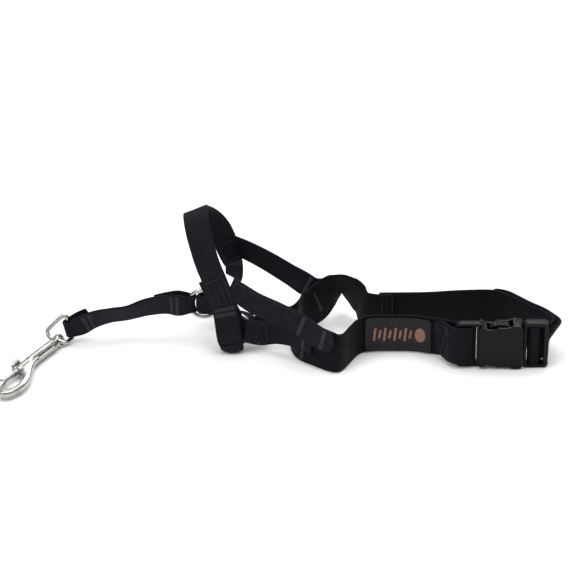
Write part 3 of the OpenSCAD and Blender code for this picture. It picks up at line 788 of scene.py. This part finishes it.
def boolean(obj, tools, operation="DIFFERENCE"):
    """Cuts or joins solid tools, then deletes them."""
    for tool in tools:
        modifier = obj.modifiers.new("cut", "BOOLEAN")
        modifier.operation = operation
        modifier.solver = "EXACT"
        modifier.object = tool
        evaluated = obj.evaluated_get(bpy.context.evaluated_depsgraph_get())
        mesh = bpy.data.meshes.new_from_object(evaluated)
        obj.modifiers.clear()
        obj.data = mesh
        bpy.data.objects.remove(tool)
    return obj


def solid(name, verts, faces):
    """A closed mesh object in the frame, for boolean work."""
    obj = closed_mesh(name, verts, faces)
    bpy.context.scene.collection.objects.link(obj)
    return obj


def snap_round(name, x0, x1, radius, sides=40):
    verts, faces = loft(lathe([(x0, radius), (x1, radius)], 1, sides))
    return solid(name, on_snap(verts), faces)


def snap_block(name, lo, hi):
    corners = [(x, y, z) for x in (lo[0], hi[0]) for y in (lo[1], hi[1]) for z in (lo[2], hi[2])]
    faces = [(0, 1, 3, 2), (4, 6, 7, 5), (0, 4, 5, 1), (2, 3, 7, 6), (0, 2, 6, 4), (1, 5, 7, 3)]
    return solid(name, on_snap(corners), faces)


BORE = 1.79
HOOK_T = 4.4
BARREL_R = 3.5
KNOB_X = 38


def knob_slot():
    """The slot that the stem of the thumb knob slides in."""
    return snap_block("slot", (26.7, -9, -1.1), (39.3, 0, 1.1))


def hook_casting():
    """The flat hook casting: a smooth outline with edges rounded off by nested offsets."""
    edge = [(24, -3.0), (33, -3.2), (40, -3.4), (42.2, -3.1), (42.6, -2.2), (42.6, 1.6), (43.4, 2.7),
            (45.6, 3.4), (46.8, 5.6), (49, 8.0), (54, 9.8), (60, 9.9), (63.8, 8.5), (65, 6.4),
            (63.6, 4.4), (60.5, 3.1), (58.2, 2.7), (57.5, 2.0), (57.4, 0), (57.5, -2.0), (58.4, -2.6),
            (61, -2.5), (65.4, -0.2), (69.4, 3.8), (70.7, 8), (68, 11.8), (62, 14.1), (55, 14.4),
            (48, 13), (42, 10.2), (36, 6.8), (30, 4.2), (24, 3.0)]
    outline = smooth_loop(edge, 5)
    ahead = np.roll(outline, -1, axis=0) - np.roll(outline, 1, axis=0)
    inward = unit(np.stack([-ahead[:, 1], ahead[:, 0]], axis=1))
    # a corner that bulges outwards is rounded off by less than its own radius
    reach = np.linalg.norm(ahead, axis=1) / 2
    bearing = np.unwrap(np.arctan2(ahead[:, 1], ahead[:, 0]))
    turn = (np.roll(bearing, -1) - np.roll(bearing, 1) + math.pi) % (2 * math.pi) - math.pi
    room = np.where(turn > 0.02, 0.7 * 2 * reach / np.maximum(turn, 0.02), 9)
    for _ in range(3):
        room = np.minimum(room, np.minimum(np.roll(room, 1), np.roll(room, -1)) + 0.25)
    inset = np.clip(room, 0.15, 1.15)[:, None]
    rings = []
    for degrees in (-90, -66, -44, -22, 0, 22, 44, 66, 90):
        a = math.radians(degrees)
        moved = outline + inward * inset * (1 - math.cos(a))
        rings.append(np.column_stack([moved, np.full(len(moved), math.sin(a) * HOOK_T / 2)]))
    verts, faces = loft(rings)
    casting = solid("hook_casting", on_snap(verts), faces)
    boolean(casting, [snap_round("bore", 10, 57.3, BORE), knob_slot()])
    adopt(casting, CAST, "snap", sharp=32)


def barrel():
    """The barrel: turned, with a rolled front lip and a long recess down its near side."""
    profile = [(5.55, 2.3), (5.6, 3.1), (6.0, BARREL_R)]
    profile += [(x, BARREL_R) for x in np.arange(6.6, 30.1, 0.6)]
    profile += [(31, 3.05), (33, 2.95), (38, 2.85), (41.4, 2.8), (42.3, 2.5), (42.5, 2.0)]
    sides = 64
    angles = np.linspace(0, 2 * math.pi, sides, endpoint=False)
    recess_at = math.radians(38)
    rings = []
    for x, r in profile:
        ease = np.clip((x - 8) / 1.6, 0, 1) * np.clip((28.6 - x) / 1.6, 0, 1)
        off = np.abs((angles - recess_at + math.pi) % (2 * math.pi) - math.pi)
        hollow = np.clip((math.radians(27) - off) / math.radians(9), 0, 1)
        radius = r - 1.0 * ease * hollow
        rings.append(np.stack([np.full(sides, x), radius * np.cos(angles), radius * np.sin(angles)], axis=1))
    verts, faces = loft(rings)
    body = solid("snap_barrel", on_snap(verts), faces)
    boolean(body, [snap_round("bore", 10.4, 50, BORE), snap_round("stem_way", 4, 9, 1.6),
                   snap_round("head_way", 7.9, 9.5, 2.4), knob_slot()])
    adopt(body, CAST, "snap", ("snap_body",), sharp=32)


def thumb_knob():
    """The thumb knob: a stem and a domed, grooved button on the far side of the barrel."""
    profile = [(1.75, 0.9), (3.8, 0.9), (3.85, 3.3), (4.1, 3.9), (4.5, 4.0), (4.7, 3.75), (4.9, 4.0),
               (5.3, 3.9), (5.65, 3.2), (5.75, 1.6), (5.6, 0.8), (5.55, 0.3)]
    angles = np.linspace(0, 2 * math.pi, 40, endpoint=False)
    rings = [np.stack([KNOB_X + r * np.cos(angles), np.full(len(angles), -y), r * np.sin(angles)], axis=1)
             for y, r in profile]
    verts, faces = loft(rings)
    add_piece("thumb_knob", on_snap(verts), faces, BRIGHT, "bolt", ("snap_thumb_knob",))


bail_wire()
swivel_eye()
barrel()
hook_casting()
thumb_knob()


# ---------------------------------------------------------------- buckle
def on_buckle(points):
    """Buckle points (along the strap, across it, through it) as drawing points."""
    p = np.asarray(points, float)
    return BUCKLE_AT + np.stack([p[:, 0], -p[:, 2], p[:, 1]], axis=1)


def rounded_outline(x0, x1, half, radius, per=6):
    points = []
    for cx, cy, start in ((x1 - radius, half - radius, 0), (x0 + radius, half - radius, 90),
                          (x0 + radius, radius - half, 180), (x1 - radius, radius - half, 270)):
        for i in range(per + 1):
            a = math.radians(start + 90 * i / per)
            points.append((cx + radius * math.cos(a), cy + radius * math.sin(a)))
    return np.array(points)


def slab(name, outline, thick, middle=0.0):
    """A flat solid of the buckle from its outline."""
    outline = np.asarray(outline, float)
    rings = [np.column_stack([outline, np.full(len(outline), middle + z)]) for z in (-thick / 2, thick / 2)]
    verts, faces = loft(rings)
    return solid(name, on_buckle(verts), faces)


def oval(x, y, rx, ry, count=40):
    return [(x + rx * math.cos(a), y + ry * math.sin(a))
            for a in np.linspace(0, 2 * math.pi, count, endpoint=False)]


def box_outline(x0, x1, y0, y1):
    return [(x0, y0), (x1, y0), (x1, y1), (x0, y1)]


def moulded(obj, radius, material, body, replaces):
    """Rounds every sharp edge as a mould does, and finishes the piece."""
    modifier = obj.modifiers.new("round", "BEVEL")
    modifier.width = radius * MM
    modifier.segments = 3
    modifier.limit_method = "ANGLE"
    modifier.angle_limit = math.radians(35)
    modifier.use_clamp_overlap = True
    mesh = bpy.data.meshes.new_from_object(obj.evaluated_get(bpy.context.evaluated_depsgraph_get()))
    obj.modifiers.clear()
    obj.data = mesh
    adopt(obj, material, body, replaces, sharp=42)


HALF = 15.2
SLOT = 12.9


def buckle_female():
    shell = slab("buckle_female_shell", rounded_outline(-14, 12.4, HALF - 0.6, 3), 11)
    bar = slab("frame", rounded_outline(-28, -11, HALF - 0.6, 3.4), 4.4)
    boolean(shell, [bar], "UNION")
    cuts = [slab("strap_slot", rounded_outline(-20.6, -15.3, SLOT, 0.8), 16),
            slab("cavity", box_outline(-11.2, 14, -12.2, 12.2), 7.4)]
    for side in (-1, 1):
        cuts.append(slab("window", box_outline(-9.4, 6.4, *sorted((side * 11.2, side * 18))), 7.4))
        cuts.append(slab("scoop", oval(-7.4, side * 16.4, 6.2, 4.4), 16))
        cuts.append(slab("scoop", oval(0.6, side * 16.4, 7.0, 3.2), 16))
    boolean(shell, cuts)
    moulded(shell, 0.55, ACETAL, "halter", ("buckle_female",))


def buckle_male():
    base = slab("buckle_male_base", rounded_outline(12.8, 27.6, HALF, 2.6), 6.4)
    boolean(base, [slab("strap_slot", rounded_outline(14.6, 25, SLOT, 0.8), 16)])
    bar = slab("bar", box_outline(17.9, 20, -SLOT - 0.6, SLOT + 0.6), 2.4)
    tongue = slab("tongue", rounded_outline(-6, 14, 3.2, 1.2), 3.2)
    boolean(base, [bar, tongue], "UNION")
    boolean(base, [slab("relief", rounded_outline(-3, 9, 1.8, 0.9), 8)])
    moulded(base, 0.45, ACETAL, "halter", ("buckle_male",))


def buckle_prong(side, node, body):
    arm = slab(node + "_arm", [(x, side * y) for x, y in box_outline(-4, 12, 8.6, 10.8)][::side], 4.6)
    pad_edge = [(-7.6, 10.4), (-6.4, 9.8), (4.0, 9.8), (4.6, 10.4), (4.6, 12.8), (3.0, 14.0), (0.4, 14.4),
                (-3, 14.4), (-6, 13.6), (-7.6, 12)]
    pad = slab("pad", [(x, side * y) for x, y in pad_edge][::side], 5.6)
    boolean(arm, [pad], "UNION")
    grips = [slab("grip", oval(x, side * 14.8, 0.5, 0.9, 12), 7) for x in (-5, -3.4, -1.8, -0.2, 1.4)]
    boolean(arm, grips)
    moulded(arm, 0.3, ACETAL, body, (node,))


buckle_female()
buckle_male()
buckle_prong(1, "buckle_prong_upper", "prong_upper")
buckle_prong(-1, "buckle_prong_lower", "prong_lower")

# ---------------------------------------------------------------- CAD pieces that stay
for node, material in (("side_ring_near", BRIGHT), ("side_ring_far", BRIGHT), ("lead_ring", BRIGHT),
                       ("snap_plunger", BRIGHT), ("snap_spring", SPRING)):
    cad = frame["nodes"][node]
    cad.data.materials.clear()
    cad.data.materials.append(material)
    for polygon in cad.data.polygons:
        polygon.use_smooth = True


# ---------------------------------------------------------------- floor, light, camera
def floor():
    mesh = bpy.data.meshes.new("floor")
    size = 6
    corners = [(-size, -size, 0), (size, -size, 0), (size, size, 0), (-size, size, 0)]
    mesh.from_pydata(corners, [], [(0, 1, 2, 3)])
    obj = bpy.data.objects.new("floor", mesh)
    bpy.context.scene.collection.objects.link(obj)
    s = Shader("floor_white", Roughness=0.85, Specular_IOR_Level=0.15)
    s.ramp(s.noise(3), [(0.3, (0.93, 0.93, 0.93)), (0.7, (0.96, 0.96, 0.96))], "Base Color")
    obj.data.materials.append(s.material)


def area_light(name, at, size, watts, target=(0, 0, 0.03)):
    data = bpy.data.lights.new(name, "AREA")
    data.shape = "RECTANGLE"
    data.size, data.size_y = size
    data.energy = watts
    obj = bpy.data.objects.new(name, data)
    obj.location = at
    obj.rotation_euler = (Vector(target) - Vector(at)).to_track_quat("-Z", "Y").to_euler()
    bpy.context.scene.collection.objects.link(obj)


def world(stops):
    """A studio around the floor: grey at the horizon and pale overhead, as (height, grey)."""
    w = bpy.data.worlds.new("studio")
    w.use_nodes = True
    nodes, links = w.node_tree.nodes, w.node_tree.links
    split = nodes.new("ShaderNodeSeparateXYZ")
    ramp = nodes.new("ShaderNodeValToRGB")
    links.new(nodes.new("ShaderNodeTexCoord").outputs["Generated"], split.inputs[0])
    links.new(split.outputs["Z"], ramp.inputs["Fac"])
    links.new(ramp.outputs["Color"], nodes["Background"].inputs["Color"])
    while len(ramp.color_ramp.elements) < len(stops):
        ramp.color_ramp.elements.new(0.5)
    for element, (height, grey) in zip(ramp.color_ramp.elements, stops):
        element.position = height
        element.color = (grey, grey, grey, 1)
    bpy.context.scene.world = w


def camera(target, distance, elevation, view_width):
    data = bpy.data.cameras.new("camera")
    data.sensor_width = 36
    data.lens = data.sensor_width * distance / view_width
    data.clip_end = 50
    obj = bpy.data.objects.new("camera", data)
    e = math.radians(elevation)
    obj.location = Vector(target) + distance * Vector((0, -math.cos(e), math.sin(e)))
    obj.rotation_euler = (Vector(target) - obj.location).to_track_quat("-Z", "Y").to_euler()
    bpy.context.scene.collection.objects.link(obj)
    bpy.context.scene.camera = obj


floor()
world([(0, 0.10), (0.25, 0.3), (1, 0.9)])
area_light("top_softbox", (0.1, 0.1, 1.3), (1.3, 1.0), 11)
area_light("key_softbox", (-0.9, -0.7, 1.1), (0.6, 0.6), 6)
area_light("back_strip", (0.3, 1.0, 0.8), (1.4, 0.35), 5)
camera((0.0059, 0.0026, 0.043), 2.4, 30, 0.348)
bpy.context.scene.view_settings.view_transform = "Standard"
